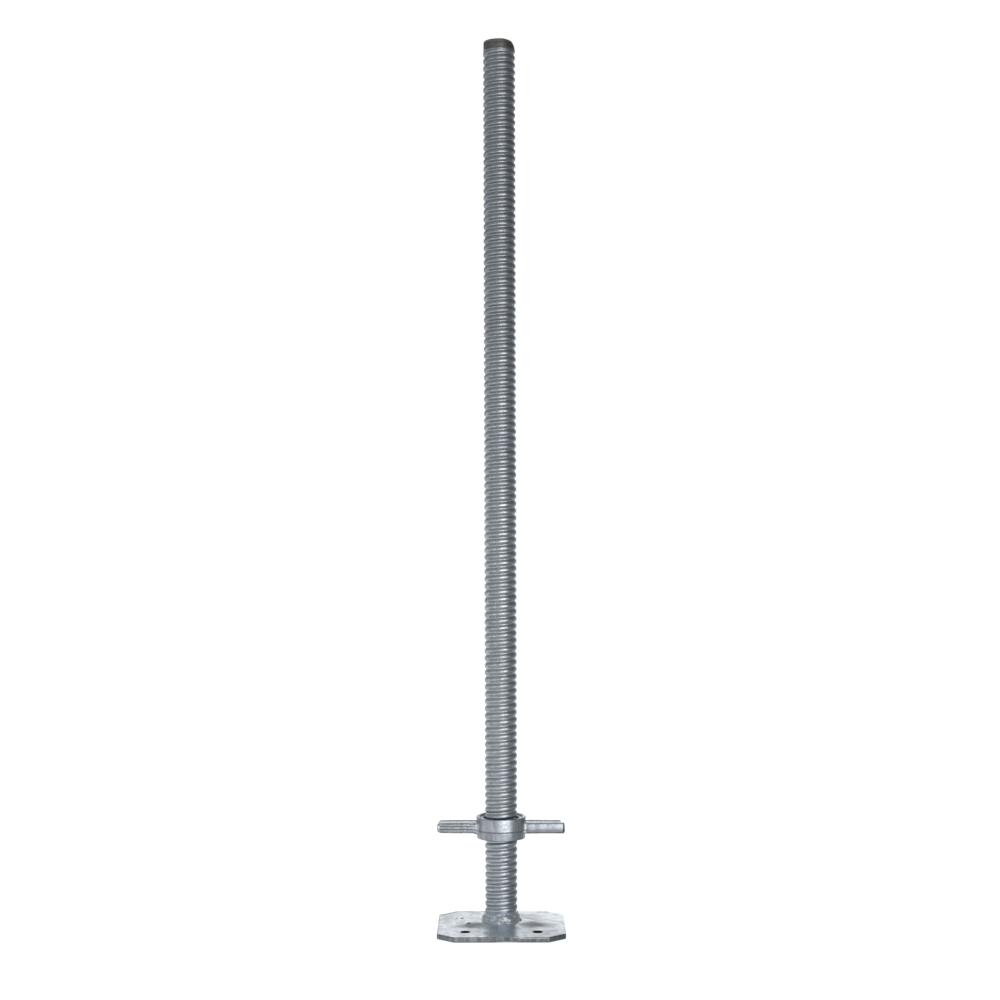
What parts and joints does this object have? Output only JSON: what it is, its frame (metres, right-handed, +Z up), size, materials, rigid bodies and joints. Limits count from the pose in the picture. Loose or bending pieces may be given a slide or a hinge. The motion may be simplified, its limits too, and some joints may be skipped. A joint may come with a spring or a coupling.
{
  "type": "scaffold base jack",
  "caption": "Adjustable scaffold base jack: a rope-threaded steel tube welded to a pressed square base plate, with a two-armed wing nut that carries the scaffold tube.",
  "frame": {"origin": "middle of the base plate's underside, on the ground", "axes": "+Z up the stem; X along the nut's arms; the side seen first faces -Y"},
  "size_m": [0.1507, 0.15, 1.05],
  "materials": {
    "stem_zinc": "hot-dip galvanised, dull blue-grey",
    "plate_zinc": "hot-dip galvanised, light grey",
    "weld_zinc": "galvanised weld bead, lumpy",
    "nut_zinc": "cast iron, galvanised, slightly bright"
  },
  "bodies": {
    "jack_leg": {"threaded_stem": "stem_zinc", "base_plate": "plate_zinc", "base_weld": "weld_zinc"},
    "height_nut": {"wing_nut": "nut_zinc"}
  },
  "joints": [
    {"name": "nut_travel", "type": "slide", "parent": "jack_leg", "child": "height_nut", "axis": [0, 0, 1], "range_m": [-0.085, 0.905]}
  ]
}
